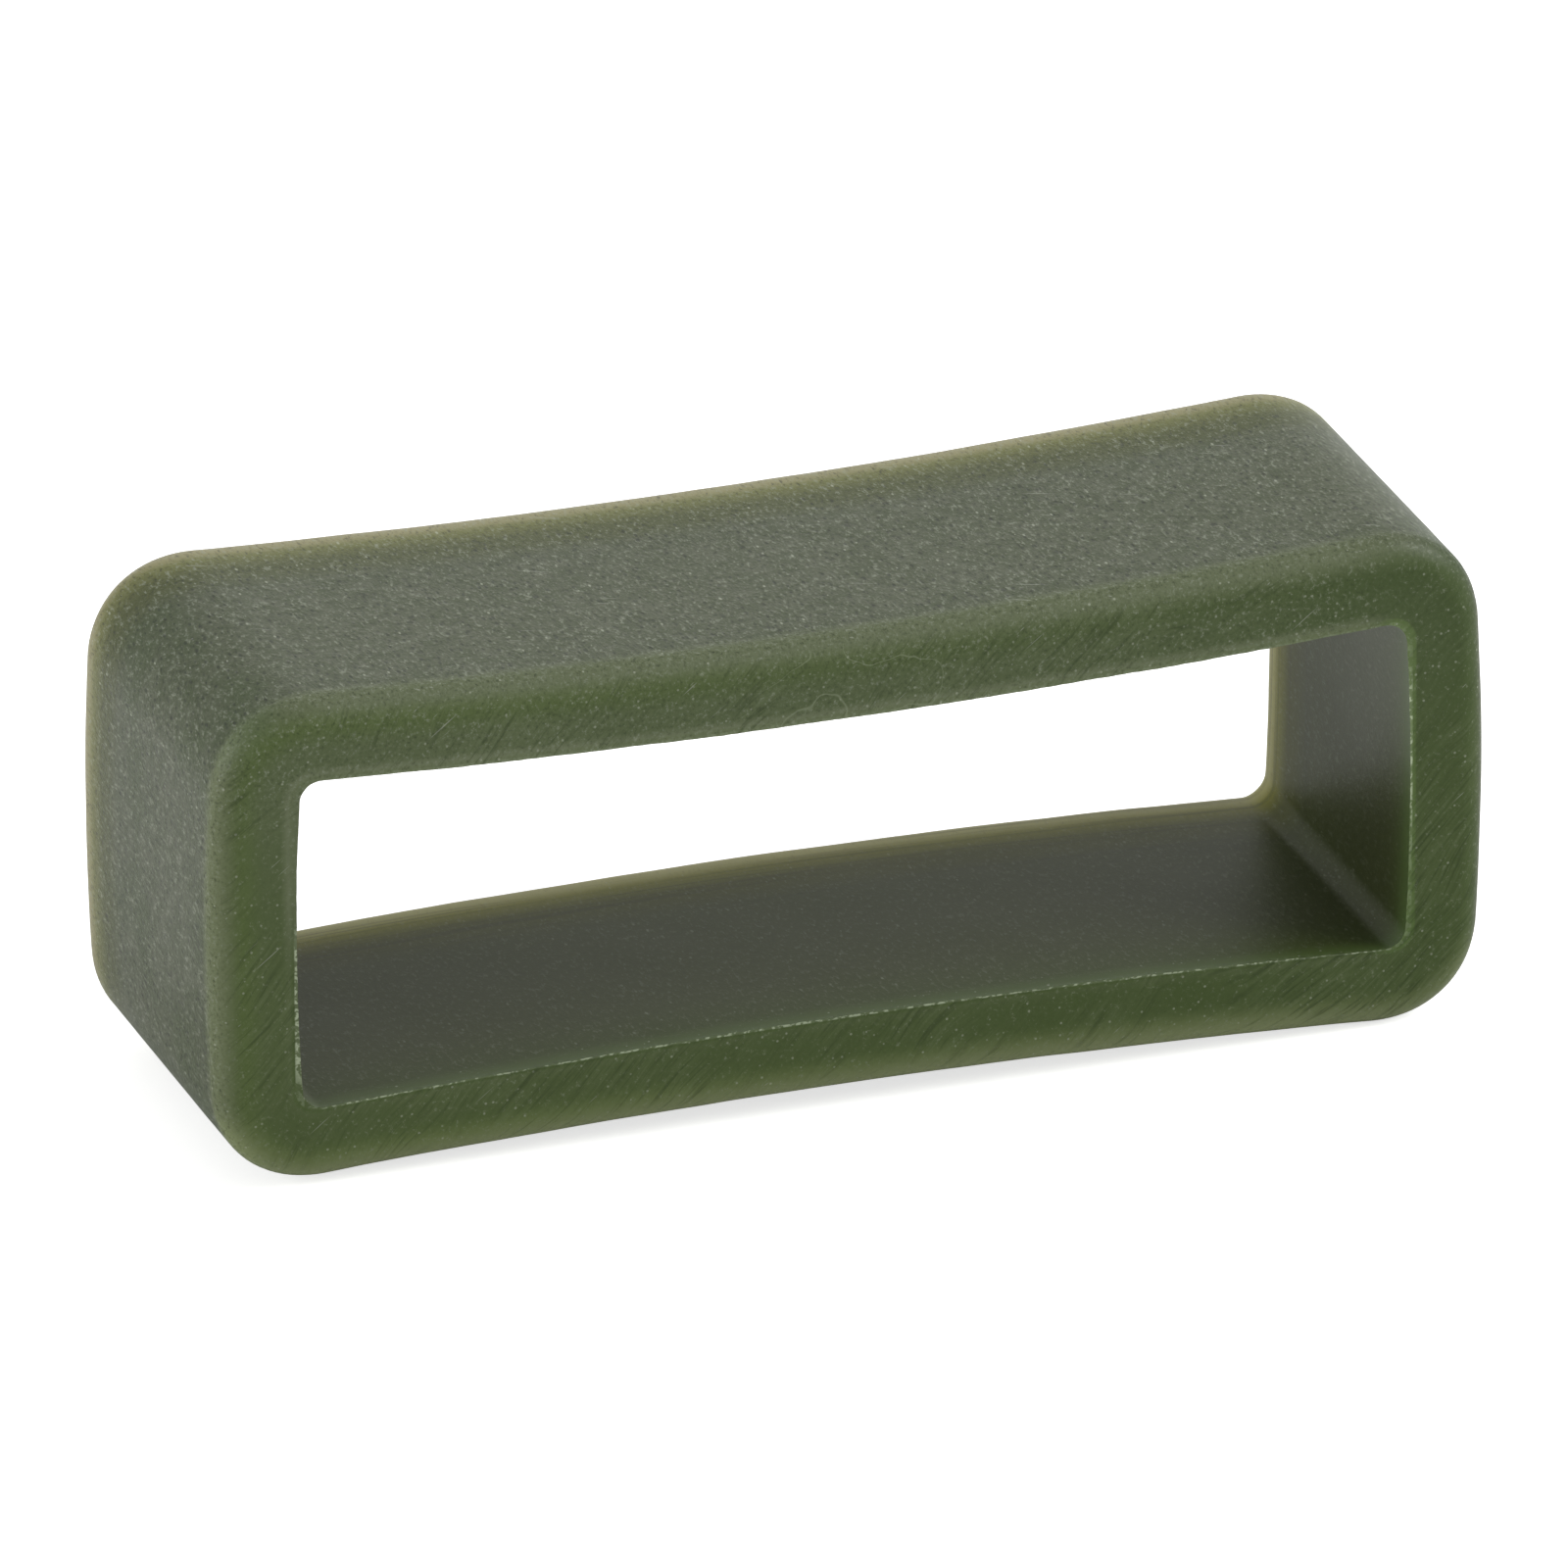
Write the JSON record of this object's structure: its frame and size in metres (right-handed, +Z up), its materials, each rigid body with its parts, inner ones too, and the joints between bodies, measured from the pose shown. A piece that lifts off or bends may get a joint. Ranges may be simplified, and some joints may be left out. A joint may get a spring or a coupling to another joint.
{
  "type": "watch strap keeper",
  "caption": "Moulded rubber keeper loop for a watch strap: a flat band with rounded corners and bowed long walls round a wide slot for the strap's free end.",
  "frame": {"origin": "the middle of the strap slot, which is also the middle of the loop's box", "axes": "+X across the strap, along the loop's long walls; +Y along the strap, out of the rounded back of the slot; +Z up through the two long walls"},
  "size_m": [0.0252, 0.008, 0.0098],
  "materials": {
    "olive_rubber": "satin moulded silicone rubber: finely blasted outside, smooth trimmed rims, olive green all through"
  },
  "bodies": {
    "root": {"keeper_loop": "olive_rubber"}
  },
  "joints": []
}
